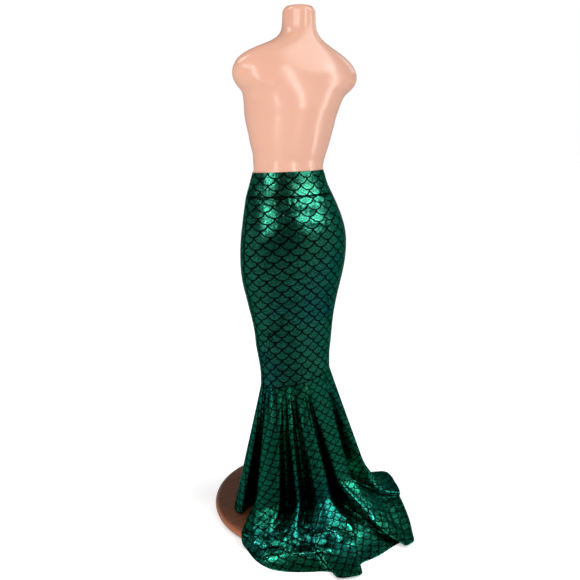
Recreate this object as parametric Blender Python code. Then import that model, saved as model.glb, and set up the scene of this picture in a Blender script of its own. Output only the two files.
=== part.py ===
"""Mermaid fishtail skirt on a limbless dress form.

Metres, +Z up, the centre of the base's underside at the origin.
The form's front faces -Y, its back and the train lie towards +Y.
Angles run anticlockwise seen from above: 0 is the wearer's left side (+X),
90 the back, 180 the right side and 270 the front.
"""

import math
from collections import namedtuple

import bmesh
import bpy
import numpy as np

CM = 0.01

# ---- driving sizes -------------------------------------------------------
WALL = 0.0014            # cloth thickness
SEAM_GAP = 0.0003        # gap between two sewn pieces
WAIST_Z = 1.070          # top edge of the waistband above the floor
WAIST_TILT = 0.0035      # the top edge rises towards the right of the back
WAISTBAND_HEIGHT = 0.066
KNEE_Z = 0.456           # mean height of the seam between pencil and flare
KNEE_TILT = 0.018        # the seam rises towards the side the train is swept to
SWEEP_DEG = 147.0        # direction in which both edges rise

BASE_RADIUS = 0.250
BASE_THICKNESS = 0.033
BASE_EDGE_STEPS = 5      # facets round the bullnose
BASE_SIDES = 72
CLOTH_ON_BASE = 0.0008   # air between the base's top and the cloth
FRONT_HEM_LIFT = 0.0024  # the front hem hangs just clear of the base
DRAPE_START = 0.252      # radius at which the cloth leaves the base's top
DRAPE_END = 0.281        # radius at which it meets the floor

POLE_RADIUS = 0.0125
POLE_SIDES = 24
TRUNK_END_Z = 0.560      # flat lower end of the form's trunk
FORM_TOP_Z = 1.496
NECK_CAP_SHARE = 0.6     # the flat end of the neck against its last section
TRUNK_LIP = 0.004        # bare form between the waistband and the first torso row
WAIST_CLEARANCE = 0.0004
SKIRT_CLEARANCE = 0.0022
CLEARANCE_RUN = 0.05     # height over which the clearance grows below the waistband

# All tables are in centimetres and degrees.
Section = namedtuple("Section", "z half_width half_depth set_back")

# The skirt's outer side, a section for each height.
BODY = [Section(*row) for row in (
    (107.4, 10.95, 7.85, -1.75),
    (103.4, 12.20, 8.80, -1.55),
    (100.0, 13.60, 9.80, -0.90),
    (96.5, 14.75, 10.60, 0.10),
    (93.0, 15.70, 11.30, 0.90),
    (89.5, 16.40, 11.80, 1.30),
    (85.9, 16.70, 12.05, 1.30),
    (82.4, 16.70, 12.05, 1.10),
    (78.7, 16.40, 11.80, 0.80),
    (75.1, 15.80, 11.35, 0.55),
    (71.4, 14.90, 10.75, 0.50),
    (67.6, 14.05, 10.10, 0.60),
    (63.8, 13.25, 9.50, 0.85),
    (60.0, 12.70, 9.10, 1.10),
    (56.1, 12.35, 8.85, 1.15),
    (52.2, 11.75, 8.60, 1.40),
    (48.3, 11.40, 8.50, 1.90),
    (43.0, 11.40, 8.50, 2.10),
)]

# The bare form above the waistband.
TORSO = [Section(*row) for row in (
    (107.4, 10.75, 7.65, -1.75),
    (109.5, 10.95, 7.75, -1.60),
    (112.0, 11.35, 8.10, -1.10),
    (114.5, 12.10, 8.70, -0.90),
    (117.0, 12.60, 9.30, -0.70),
    (119.7, 13.20, 10.10, -0.60),
    (122.0, 13.60, 10.80, -0.50),
    (123.7, 14.00, 10.90, 0.00),
    (126.0, 14.70, 10.40, 0.80),
    (128.0, 15.90, 9.60, 1.70),
    (129.5, 17.80, 9.20, 2.20),
    (131.0, 19.00, 8.80, 2.50),
    (132.6, 19.40, 8.30, 2.80),
    (134.3, 18.95, 7.80, 2.90),
    (136.0, 17.65, 7.20, 3.00),
    (137.6, 15.30, 6.60, 3.10),
    (139.0, 12.30, 6.10, 3.20),
    (140.3, 9.10, 5.70, 3.25),
    (141.6, 6.60, 5.30, 3.30),
    (143.2, 5.00, 4.90, 3.30),
    (145.2, 4.45, 4.65, 3.30),
    (147.2, 4.30, 4.55, 3.30),
    (148.6, 4.10, 4.35, 3.30),
    (149.3, 3.50, 3.75, 3.30),
)]

# Fold lines of the flare. Each starts on the knee seam, comes down to its foot,
# crosses the rim of the base, meets the floor at its toe and ends at the hem. The
# first and the last row are the side seams.
BackFold = namedtuple(
    "BackFold",
    "seam_deg foot_deg foot_r foot_z rim_deg rim_r rim_z hem_deg hem_r hem_z",
)
BACK_FOLDS = [BackFold(*row) for row in (
    (0.0, 0, 14.6, 8.4, 0, 15.2, 6.2, 0, 16.2, 3.8),
    (4.5, 2, 11.0, 7.0, 359, 11.8, 5.2, 357, 13.2, 3.9),
    (9.0, 10, 14.6, 7.6, 11, 17.0, 5.2, 13.5, 19.6, 3.9),
    (14.0, 15, 16.8, 7.9, 19.5, 21.8, 4.6, 22.5, 26.2, 1.9),
    (23.0, 27, 17.8, 8.0, 29, 25.6, 4.0, 30, 27.8, 0.05),
    (33.0, 43, 16.4, 8.0, 38, 25.8, 3.9, 38.0, 30.4, 0.05),
    (42.0, 50, 10.6, 6.2, 46, 25.6, 3.8, 46, 32.2, 0.05),
    (49.0, 64, 16.8, 9.8, 56, 25.8, 4.1, 54, 32.8, 0.05),
    (56.0, 78, 11.6, 6.8, 63, 25.6, 3.8, 63, 33.1, 0.05),
    (61.0, 82, 13.0, 7.6, 69, 26.2, 3.7, 74.6, 34.4, 0.05),
    (65.0, 83, 15.4, 8.8, 71, 26.8, 3.8, 76.0, 38.0, 0.9),
    (69.5, 86, 17.4, 9.8, 81, 27.0, 3.9, 81.0, 39.2, 1.0),
    (73.0, 95, 18.0, 10.0, 98, 27.0, 3.7, 86.0, 39.4, 0.9),
    (75.5, 103, 17.2, 8.6, 101, 26.4, 3.5, 89.5, 35.6, 0.05),
    (78.0, 116, 14.8, 6.2, 107, 26.2, 3.3, 100, 36.2, 0.05),
    (80.5, 125, 13.4, 6.4, 113, 25.6, 3.8, 114, 38.2, 0.05),
    (85.0, 112.8, 17.2, 12.5, 113.5, 28.6, 4.6, 111.5, 40.6, 1.2),
    (94.0, 119, 18.3, 12.5, 119, 29.6, 4.8, 115, 42.0, 1.6),
    (104.0, 124.2, 19.4, 12.5, 124.5, 30.5, 4.0, 119.9, 40.7, 1.0),
    (111.0, 125.0, 19.6, 12.5, 129.9, 29.3, 4.0, 128.2, 38.3, 2.0),
    (118.0, 128.0, 18.6, 12.5, 134.6, 27.8, 4.0, 139.3, 35.7, 3.2),
    (127.0, 163, 12.0, 9.0, 150, 25.6, 3.8, 150.8, 36.2, 0.05),
    (137.0, 155, 22.2, 11.0, 150, 27.6, 4.2, 152.6, 36.5, 1.0),
    (148.0, 157, 24.2, 11.6, 156, 28.6, 5.2, 160, 36.8, 1.0),
    (157.0, 163, 22.6, 9.0, 166, 28.8, 2.4, 171.5, 36.9, 1.2),
    (166.0, 172, 18.4, 7.0, 176, 24.6, 4.6, 175, 29.2, 2.0),
    (174.0, 179, 13.4, 6.4, 181, 16.4, 5.2, 184, 19.0, 3.9),
    (180.0, 186, 16.2, 7.6, 188, 17.8, 5.8, 191, 19.4, 3.9),
)]

# Fold lines of the front, which end on the base.
FrontFold = namedtuple("FrontFold", "seam_deg hem_deg hem_r")
FRONT_FOLDS = [FrontFold(*row) for row in (
    (190.0, 197, 21.2),
    (200.0, 204, 20.8),
    (210.0, 211, 13.8),
    (218.0, 217, 19.0),
    (226.0, 227, 19.0),
    (235.0, 235, 13.0),
    (244.0, 243, 18.2),
    (252.0, 253, 18.4),
    (261.0, 262, 12.6),
    (270.0, 270, 18.6),
    (279.0, 280, 18.2),
    (288.0, 289, 12.4),
    (296.0, 297, 17.8),
    (304.0, 307, 17.4),
    (312.0, 316, 12.2),
    (320.0, 324, 16.6),
    (327.0, 332, 16.6),
    (334.0, 339, 12.8),
    (342.0, 350, 19.6),
    (351.0, 364, 20.0),
)]

BACK_STEPS = 3           # facets from one back fold line to the next
FRONT_STEPS = 2
LEG_RINGS = (8, 3, 2, 2)     # facets from knee seam to foot, rim, toe and hem
FRONT_LEGS = (0.80, 0.91, 0.955)    # shares of a front fold line at its foot, rim and toe
PENCIL_RINGS = 16
PENCIL_STEPS = 22        # facets across each pencil panel
BAND_SIDES = 44
BAND_RINGS = 4
TORSO_SIDES = 32
TRUNK_RINGS = 14
BEND = 0.05              # length over which a fold line turns
PATH_SAMPLES = 121
TOE_SHARE = 0.45         # of the way from rim to hem, where the cloth meets the floor
TOE_HEIGHT = 0.22        # of the drop from rim to hem, still left there
SHARP_DEG = 40.0         # edges above this angle are shaded sharp
TINY = 1e-9

# colour, roughness and metallic value of each material
FOIL = ((0.02, 0.30, 0.20), 0.35, 0.8)
SKIN = ((0.90, 0.62, 0.50), 0.30, 0.0)
STEEL = ((0.60, 0.60, 0.62), 0.25, 1.0)
WOOD = ((0.25, 0.08, 0.04), 0.35, 0.0)


# ---- helpers -------------------------------------------------------------
def clear_scene():
    for item in list(bpy.data.objects):
        bpy.data.objects.remove(item, do_unlink=True)


def make_material(name, look):
    colour, roughness, metallic = look
    material = bpy.data.materials.new(name)
    material.use_nodes = True
    shader = material.node_tree.nodes["Principled BSDF"]
    shader.inputs["Base Color"].default_value = (*colour, 1.0)
    shader.inputs["Roughness"].default_value = roughness
    shader.inputs["Metallic"].default_value = metallic
    return material


def make_object(name, points, faces, look):
    """One closed body with its faces pointing out and smooth shading."""
    mesh = bpy.data.meshes.new(name)
    mesh.from_pydata([tuple(p) for p in points], [], faces)
    work = bmesh.new()
    work.from_mesh(mesh)
    bmesh.ops.recalc_face_normals(work, faces=work.faces)
    work.to_mesh(mesh)
    work.free()
    mesh.shade_smooth()
    mesh.set_sharp_from_angle(angle=math.radians(SHARP_DEG))
    item = bpy.data.objects.new(name, mesh)
    bpy.context.scene.collection.objects.link(item)
    item.data.materials.append(make_material(name, look))
    return item


def cubic(start, start_slope, end, end_slope, t):
    """Cubic curve between two places with given slopes."""
    from_start = (2 * t**3 - 3 * t**2 + 1) * start + (t**3 - 2 * t**2 + t) * start_slope
    return from_start + (3 * t**2 - 2 * t**3) * end + (t**3 - t**2) * end_slope


def smooth_rows(knots, values, places):
    """Cubic curve through the rows of a table, with slopes from the neighbours."""
    knots = np.asarray(knots, float)
    values = np.asarray(values, float)
    places = np.clip(np.asarray(places, float), knots[0], knots[-1])
    slopes = np.gradient(values, knots, axis=0)
    index = np.clip(np.searchsorted(knots, places, side="right") - 1, 0, len(knots) - 2)
    span = (knots[index + 1] - knots[index])
    t = (places - knots[index]) / span
    t = t[:, None]
    span = span[:, None]
    return cubic(values[index], span * slopes[index], values[index + 1], span * slopes[index + 1], t)


def ease(t):
    t = np.clip(t, 0.0, 1.0)
    return t * t * (3 - 2 * t)


def section(table_rows, z):
    """Half width, half depth and set-back of a table's section at heights z."""
    table = np.array(sorted(table_rows)) * CM
    return smooth_rows(table[:, 0], table[:, 1:], np.atleast_1d(z))


def section_points(table_rows, z, degrees, inset=0.0):
    """Points round a section, moved in by inset."""
    angle = np.radians(np.atleast_1d(degrees))
    z = np.broadcast_to(z, angle.shape)
    half_width, half_depth, set_back = section(table_rows, z).T
    x = (half_width - inset) * np.cos(angle)
    y = (half_depth - inset) * np.sin(angle) + set_back
    return np.stack([x, y, z], axis=-1)


def tilted(height, tilt, degrees):
    return height + tilt * np.cos(np.radians(np.asarray(degrees) - SWEEP_DEG))


def waist_top(degrees):
    return tilted(WAIST_Z, WAIST_TILT, degrees)


def band_seam(degrees):
    return tilted(WAIST_Z - WAISTBAND_HEIGHT, WAIST_TILT, degrees)


def knee_seam(degrees):
    return tilted(KNEE_Z, KNEE_TILT, degrees)


# ---- closed bodies from grids ---------------------------------------------
def grid_faces(rows, columns, wrap, start=0):
    faces = []
    last = columns if wrap else columns - 1
    for row in range(rows - 1):
        for column in range(last):
            across = (column + 1) % columns
            a = start + row * columns + column
            b = start + row * columns + across
            faces.append((a, b, b + columns, a + columns))
    return faces


def walled(outer, inner, wrap):
    """A wall between two equal grids of points, closed along all its edges."""
    rows, columns = outer.shape[:2]
    count = rows * columns
    points = np.concatenate([outer.reshape(-1, 3), inner.reshape(-1, 3)])
    faces = grid_faces(rows, columns, wrap)
    faces += [tuple(reversed(face)) for face in grid_faces(rows, columns, wrap, count)]
    steps = columns if wrap else columns - 1
    for row in (0, rows - 1):
        for column in range(steps):
            a = row * columns + column
            b = row * columns + (column + 1) % columns
            faces.append((a, b, b + count, a + count))
    if not wrap:
        for column in (0, columns - 1):
            for row in range(rows - 1):
                a = row * columns + column
                faces.append((a, a + columns, a + columns + count, a + count))
    return points, faces


def capped(rings):
    """A solid of stacked rings with a flat cap at each end."""
    rows, columns = rings.shape[:2]
    faces = grid_faces(rows, columns, True)
    faces.append(tuple(range(columns)))
    faces.append(tuple(range((rows - 1) * columns, rows * columns)))
    return rings.reshape(-1, 3), faces


# ---- dress form ----------------------------------------------------------
def form_inset(z):
    """How far the form's side lies inside the skirt's outer side."""
    below = ease((WAIST_Z - z) / CLEARANCE_RUN)
    return WALL + WAIST_CLEARANCE + (SKIRT_CLEARANCE - WAIST_CLEARANCE) * below


def build_torso():
    degrees = np.arange(TORSO_SIDES) * 360.0 / TORSO_SIDES
    rings = []
    for z in np.linspace(TRUNK_END_Z, WAIST_Z + TRUNK_LIP, TRUNK_RINGS):
        rings.append(section_points(BODY, z, degrees, float(form_inset(z))))
    for row in TORSO[1:]:
        rings.append(section_points(TORSO, row.z * CM, degrees))
    neck = rings[-1]
    middle = neck.mean(axis=0)
    cap = middle + (neck - middle) * NECK_CAP_SHARE
    cap[:, 2] = FORM_TOP_Z
    rings.append(cap)
    make_object("form_torso", *capped(np.array(rings)), SKIN)


def build_pole():
    degrees = np.radians(np.arange(POLE_SIDES) * 360.0 / POLE_SIDES)
    circle = np.stack([np.cos(degrees), np.sin(degrees)], axis=-1) * POLE_RADIUS
    rings = []
    for z in (BASE_THICKNESS + SEAM_GAP, TRUNK_END_Z - SEAM_GAP):
        rings.append(np.column_stack([circle, np.full(POLE_SIDES, z)]))
    make_object("form_pole", *capped(np.array(rings)), STEEL)


def build_base():
    half = BASE_THICKNESS / 2
    angles = np.radians(np.arange(BASE_SIDES) * 360.0 / BASE_SIDES)
    rings = []
    for step in np.linspace(-90.0, 90.0, BASE_EDGE_STEPS + 1):
        round_off = math.radians(step)
        radius = BASE_RADIUS - half + half * math.cos(round_off)
        z = half + half * math.sin(round_off)
        circle = [(radius * math.cos(a), radius * math.sin(a), z) for a in angles]
        rings.append(circle)
    make_object("form_base", *capped(np.array(rings)), WOOD)


# ---- waistband and pencil panels ------------------------------------------
def panel_grid(degrees, top, bottom, rings, inset):
    """Grid of points on the body section, from the top edge to the bottom edge."""
    grid = []
    for share in np.linspace(0.0, 1.0, rings):
        z = top(degrees) * (1 - share) + bottom(degrees) * share
        grid.append(section_points(BODY, z, degrees, inset))
    return np.array(grid)


def build_waistband():
    degrees = np.arange(BAND_SIDES) * 360.0 / BAND_SIDES
    outer = panel_grid(degrees, waist_top, band_seam, BAND_RINGS, 0.0)
    inner = panel_grid(degrees, waist_top, band_seam, BAND_RINGS, WALL)
    make_object("waistband", *walled(outer, inner, True), FOIL)


def build_pencil(name, first_deg, last_deg):
    hip_depth = max(row.half_depth for row in BODY) * CM
    gap_deg = math.degrees(SEAM_GAP / 2 / hip_depth)
    degrees = np.linspace(first_deg + gap_deg, last_deg - gap_deg, PENCIL_STEPS + 1)

    def top(where):
        return band_seam(where) - SEAM_GAP

    def bottom(where):
        return knee_seam(where) + SEAM_GAP

    outer = panel_grid(degrees, top, bottom, PENCIL_RINGS, 0.0)
    inner = panel_grid(degrees, top, bottom, PENCIL_RINGS, WALL)
    make_object(name, *walled(outer, inner, False), FOIL)


# ---- flare ---------------------------------------------------------------
def polar(degrees, radius, z):
    """Middle of the cloth whose underside is at a place given in degrees and cm."""
    angle = math.radians(degrees)
    return np.array([radius * math.cos(angle), radius * math.sin(angle), z]) * CM + (0, 0, WALL / 2)


def support(radius):
    """Height of what lies under the cloth: base, fall over its rim, floor."""
    fall = ease((radius - DRAPE_START) / (DRAPE_END - DRAPE_START))
    return (BASE_THICKNESS + CLOTH_ON_BASE) * (1 - fall)


def knee_point(seam_deg):
    z = float(knee_seam(seam_deg)) - SEAM_GAP / 2
    return section_points(BODY, z, seam_deg, WALL / 2)[0]


def back_places(row):
    """The five places that a back fold line goes through."""
    foot = polar(row.foot_deg, row.foot_r, row.foot_z)
    rim = polar(row.rim_deg, row.rim_r, row.rim_z)
    hem = polar(row.hem_deg, row.hem_r, row.hem_z)
    toe = rim + (hem - rim) * (TOE_SHARE, TOE_SHARE, 1 - TOE_HEIGHT)
    return np.array([knee_point(row.seam_deg), foot, rim, toe, hem])


def front_places(row):
    """The five places of a front fold line, which ends on the base."""
    knee = knee_point(row.seam_deg)
    hem = polar(row.hem_deg, row.hem_r, (BASE_THICKNESS + FRONT_HEM_LIFT) / CM)
    foot, rim, toe = [knee + (hem - knee) * share for share in FRONT_LEGS]
    return np.array([knee, foot, rim, toe, hem])


def fold_path(places):
    """Fold line through its places, rounded where it turns, as one point a ring."""
    lengths = np.concatenate([[0.0], np.cumsum(np.linalg.norm(np.diff(places, axis=0), axis=1))])
    along = np.linspace(0.0, lengths[-1], PATH_SAMPLES)
    line = np.stack([np.interp(along, lengths, places[:, k]) for k in range(3)], axis=-1)
    line = round_bends(along, line)
    stops = [0.0]
    for leg, steps in enumerate(LEG_RINGS):
        stops += list(np.linspace(lengths[leg], lengths[leg + 1], steps + 1)[1:])
    return np.stack([np.interp(stops, along, line[:, k]) for k in range(3)], axis=-1)


def round_bends(along, line):
    """Each point becomes the mean of the line within half a bend either side."""
    total = along[-1]
    steps = np.diff(along)[:, None]
    running = np.zeros_like(line)
    running[1:] = np.cumsum(0.5 * (line[1:] + line[:-1]) * steps, axis=0)
    reach = np.minimum(BEND / 2, np.minimum(along, total - along))
    rounded = line.copy()
    for index in range(1, len(along) - 1):
        low = along[index] - reach[index]
        high = along[index] + reach[index]
        ends = [np.interp((low, high), along, running[:, k]) for k in range(3)]
        rounded[index] = [(end[1] - end[0]) / (high - low) for end in ends]
    return rounded


def between(before, here, after, beyond, t):
    """Smooth cubic from one fold line to the next, led by their neighbours."""
    return cubic(here, 0.5 * (after - before), after, 0.5 * (beyond - here), t)


def flare_rings():
    """Closed rings through every fold line, and the column of the right side seam."""
    lines = [fold_path(back_places(row)) for row in BACK_FOLDS]
    lines += [fold_path(front_places(row)) for row in FRONT_FOLDS]
    count = len(lines)
    right_seam = len(BACK_FOLDS) - 1
    columns = []
    for fold in range(count):
        steps = BACK_STEPS if fold < right_seam else FRONT_STEPS
        near = [lines[(fold + offset) % count] for offset in (-1, 0, 1, 2)]
        for step in range(steps):
            columns.append(between(*near, step / steps))
    grid = np.stack(columns, axis=1)
    grid[0] = seam_ring(grid[0])
    return rest_on_support(grid), right_seam * BACK_STEPS


def rest_on_support(points):
    radius = np.hypot(points[..., 0], points[..., 1])
    points[..., 2] = np.maximum(points[..., 2], support(radius) + WALL / 2)
    return points


def seam_ring(ring):
    """The first ring lies on the pencil's own section."""
    half_width, half_depth, set_back = section(BODY, KNEE_Z)[0]
    degrees = np.degrees(np.arctan2((ring[:, 1] - set_back) / half_depth, ring[:, 0] / half_width))
    z = knee_seam(degrees) - SEAM_GAP / 2
    return section_points(BODY, z, degrees, WALL / 2)


def grid_normals(grid):
    """Outward direction at each point of a closed ring grid."""
    across = np.roll(grid, -1, axis=1) - np.roll(grid, 1, axis=1)
    down = np.gradient(grid, axis=0)
    normal = np.cross(down, across)
    length = np.linalg.norm(normal, axis=-1, keepdims=True)
    return normal / np.maximum(length, TINY)


def build_flare():
    grid, split = flare_rings()
    normal = grid_normals(grid)
    outer = grid + normal * WALL / 2
    inner = grid - normal * WALL / 2
    for side in (outer, inner):
        radius = np.hypot(side[..., 0], side[..., 1])
        side[..., 2] = np.maximum(side[..., 2], support(radius))
    columns = grid.shape[1]
    panels = {
        "flare_back": list(range(0, split + 1)),
        "flare_front": list(range(split, columns)) + [0],
    }
    for name, chosen in panels.items():
        outside = part_seams(outer[:, chosen])
        inside = part_seams(inner[:, chosen])
        make_object(name, *walled(outside, inside, False), FOIL)


def part_seams(grid):
    """Leave half a seam gap at both side edges of a panel."""
    parted = grid.copy()
    for edge, neighbour in ((0, 1), (-1, -2)):
        towards = grid[:, neighbour] - grid[:, edge]
        length = np.linalg.norm(towards, axis=-1, keepdims=True)
        parted[:, edge] += towards / np.maximum(length, TINY) * SEAM_GAP / 2
    return parted


def main():
    clear_scene()
    build_base()
    build_pole()
    build_torso()
    build_waistband()
    build_pencil("pencil_back", 0.0, 180.0)
    build_pencil("pencil_front", 180.0, 360.0)
    build_flare()


main()
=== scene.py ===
"""Looks of the mermaid fishtail skirt on its dress form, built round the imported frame.

Metres, +Z up. Angles run anticlockwise seen from above: 0 is the wearer's left side,
90 the back, 180 the right side and 270 the front. The train lies towards the back.
"""

import math
from collections import namedtuple

import bmesh
import bpy
import numpy as np
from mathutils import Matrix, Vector


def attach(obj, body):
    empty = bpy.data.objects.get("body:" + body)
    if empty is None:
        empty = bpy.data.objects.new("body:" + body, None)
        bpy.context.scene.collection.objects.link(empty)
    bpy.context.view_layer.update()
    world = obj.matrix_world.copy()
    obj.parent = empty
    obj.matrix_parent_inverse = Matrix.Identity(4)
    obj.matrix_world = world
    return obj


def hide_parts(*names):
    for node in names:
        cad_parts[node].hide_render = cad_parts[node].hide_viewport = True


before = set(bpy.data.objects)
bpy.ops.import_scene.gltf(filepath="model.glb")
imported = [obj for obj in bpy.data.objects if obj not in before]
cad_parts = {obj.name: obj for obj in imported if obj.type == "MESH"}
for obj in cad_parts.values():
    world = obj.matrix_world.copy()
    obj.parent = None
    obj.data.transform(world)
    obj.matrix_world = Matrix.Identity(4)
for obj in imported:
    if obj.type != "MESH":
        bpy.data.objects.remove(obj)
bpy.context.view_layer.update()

CM = 0.01
MM = 0.001
TINY = 1e-9

# ---- sizes shared with the CAD model ----
WALL = 0.0014
SEAM_GAP = 0.0003
WAIST_Z = 1.070
WAIST_TILT = 0.0035
WAISTBAND_HEIGHT = 0.066
KNEE_Z = 0.456
KNEE_TILT = 0.018
SWEEP_DEG = 147.0
BASE_RADIUS = 0.250
BASE_THICKNESS = 0.033
CLOTH_ON_BASE = 0.0008
FRONT_HEM_LIFT = 0.0024
DRAPE_START = 0.252
DRAPE_END = 0.281
TRUNK_END_Z = 0.560
FORM_TOP_Z = 1.496
NECK_CAP_SHARE = 0.6
TRUNK_LIP = 0.004
WAIST_CLEARANCE = 0.0004
SKIRT_CLEARANCE = 0.0022
CLEARANCE_RUN = 0.05
FRONT_LEGS = (0.80, 0.91, 0.955)
TOE_SHARE = 0.45
TOE_HEIGHT = 0.22
BEND = 0.05

# All tables are in centimetres and degrees.
Section = namedtuple("Section", "z half_width half_depth set_back")

# The skirt's outer side, a section for each height.
BODY = [Section(*row) for row in (
    (107.4, 10.95, 7.85, -1.75),
    (103.4, 12.20, 8.80, -1.55),
    (100.0, 13.60, 9.80, -0.90),
    (96.5, 14.75, 10.60, 0.10),
    (93.0, 15.70, 11.30, 0.90),
    (89.5, 16.40, 11.80, 1.30),
    (85.9, 16.70, 12.05, 1.30),
    (82.4, 16.70, 12.05, 1.10),
    (78.7, 16.40, 11.80, 0.80),
    (75.1, 15.80, 11.35, 0.55),
    (71.4, 14.90, 10.75, 0.50),
    (67.6, 14.05, 10.10, 0.60),
    (63.8, 13.25, 9.50, 0.85),
    (60.0, 12.70, 9.10, 1.10),
    (56.1, 12.35, 8.85, 1.15),
    (52.2, 11.75, 8.60, 1.40),
    (48.3, 11.40, 8.50, 1.90),
    (43.0, 11.40, 8.50, 2.10),
)]

# The bare form above the waistband.
TORSO = [Section(*row) for row in (
    (107.4, 10.75, 7.65, -1.75),
    (109.5, 10.95, 7.75, -1.60),
    (112.0, 11.35, 8.10, -1.10),
    (114.5, 12.10, 8.70, -0.90),
    (117.0, 12.60, 9.30, -0.70),
    (119.7, 13.20, 10.10, -0.60),
    (122.0, 13.60, 10.80, -0.50),
    (123.7, 14.00, 10.90, 0.00),
    (126.0, 14.70, 10.40, 0.80),
    (128.0, 15.90, 9.60, 1.70),
    (129.5, 17.80, 9.20, 2.20),
    (131.0, 19.00, 8.80, 2.50),
    (132.6, 19.40, 8.30, 2.80),
    (134.3, 18.95, 7.80, 2.90),
    (136.0, 17.65, 7.20, 3.00),
    (137.6, 15.30, 6.60, 3.10),
    (139.0, 12.30, 6.10, 3.20),
    (140.3, 9.10, 5.70, 3.25),
    (141.6, 6.60, 5.30, 3.30),
    (143.2, 5.00, 4.90, 3.30),
    (145.2, 4.45, 4.65, 3.30),
    (147.2, 4.30, 4.55, 3.30),
    (148.6, 4.10, 4.35, 3.30),
    (149.3, 3.50, 3.75, 3.30),
)]

# Fold lines of the flare: knee seam, foot, rim of the base and hem. The toe, where the
# cloth comes down to what it lies on, is found from the last two.
BackFold = namedtuple(
    "BackFold",
    "seam_deg foot_deg foot_r foot_z rim_deg rim_r rim_z hem_deg hem_r hem_z",
)
BACK_FOLDS = [BackFold(*row) for row in (
    (0.0, 0, 14.6, 8.4, 0, 15.2, 6.2, 0, 16.2, 3.8),
    (4.5, 2, 11.0, 7.0, 359, 11.8, 5.2, 357, 13.2, 3.9),
    (9.0, 10, 14.6, 7.6, 11, 17.0, 5.2, 13.5, 19.6, 3.9),
    (14.0, 15, 16.8, 7.9, 19.5, 21.8, 4.6, 22.5, 26.2, 1.9),
    (23.0, 27, 17.8, 8.0, 29, 25.6, 4.0, 30, 27.8, 0.05),
    (33.0, 43, 16.4, 8.0, 38, 25.8, 3.9, 38.0, 30.4, 0.05),
    (42.0, 50, 10.6, 6.2, 46, 25.6, 3.8, 46, 32.2, 0.05),
    (49.0, 64, 16.8, 9.8, 56, 25.8, 4.1, 54, 32.8, 0.05),
    (56.0, 78, 11.6, 6.8, 63, 25.6, 3.8, 63, 33.1, 0.05),
    (61.0, 82, 13.0, 7.6, 69, 26.2, 3.7, 74.6, 34.4, 0.05),
    (65.0, 83, 15.4, 8.8, 71, 26.8, 3.8, 76.0, 38.0, 0.9),
    (69.5, 86, 17.4, 9.8, 81, 27.0, 3.9, 81.0, 39.2, 1.0),
    (73.0, 95, 18.0, 10.0, 98, 27.0, 3.7, 86.0, 39.4, 0.9),
    (75.5, 103, 17.2, 8.6, 101, 26.4, 3.5, 89.5, 35.6, 0.05),
    (78.0, 116, 14.8, 6.2, 107, 26.2, 3.3, 100, 36.2, 0.05),
    (80.5, 125, 13.4, 6.4, 113, 25.6, 3.8, 114, 38.2, 0.05),
    (85.0, 112.8, 17.2, 12.5, 113.5, 28.6, 4.6, 111.5, 40.6, 1.2),
    (94.0, 119, 18.3, 12.5, 119, 29.6, 4.8, 115, 42.0, 1.6),
    (104.0, 124.2, 19.4, 12.5, 124.5, 30.5, 4.0, 119.9, 40.7, 1.0),
    (111.0, 125.0, 19.6, 12.5, 129.9, 29.3, 4.0, 128.2, 38.3, 2.0),
    (118.0, 128.0, 18.6, 12.5, 134.6, 27.8, 4.0, 139.3, 35.7, 3.2),
    (127.0, 163, 12.0, 9.0, 150, 25.6, 3.8, 150.8, 36.2, 0.05),
    (137.0, 155, 22.2, 11.0, 150, 27.6, 4.2, 152.6, 36.5, 1.0),
    (148.0, 157, 24.2, 11.6, 156, 28.6, 5.2, 160, 36.8, 1.0),
    (157.0, 163, 22.6, 9.0, 166, 28.8, 2.4, 171.5, 36.9, 1.2),
    (166.0, 172, 18.4, 7.0, 176, 24.6, 4.6, 175, 29.2, 2.0),
    (174.0, 179, 13.4, 6.4, 181, 16.4, 5.2, 184, 19.0, 3.9),
    (180.0, 186, 16.2, 7.6, 188, 17.8, 5.8, 191, 19.4, 3.9),
)]

# Fold lines of the front, which end on the base.
FrontFold = namedtuple("FrontFold", "seam_deg hem_deg hem_r")
FRONT_FOLDS = [FrontFold(*row) for row in (
    (190.0, 197, 21.2),
    (200.0, 204, 20.8),
    (210.0, 211, 13.8),
    (218.0, 217, 19.0),
    (226.0, 227, 19.0),
    (235.0, 235, 13.0),
    (244.0, 243, 18.2),
    (252.0, 253, 18.4),
    (261.0, 262, 12.6),
    (270.0, 270, 18.6),
    (279.0, 280, 18.2),
    (288.0, 289, 12.4),
    (296.0, 297, 17.8),
    (304.0, 307, 17.4),
    (312.0, 316, 12.2),
    (320.0, 324, 16.6),
    (327.0, 332, 16.6),
    (334.0, 339, 12.8),
    (342.0, 350, 19.6),
    (351.0, 364, 20.0),
)]

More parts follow.
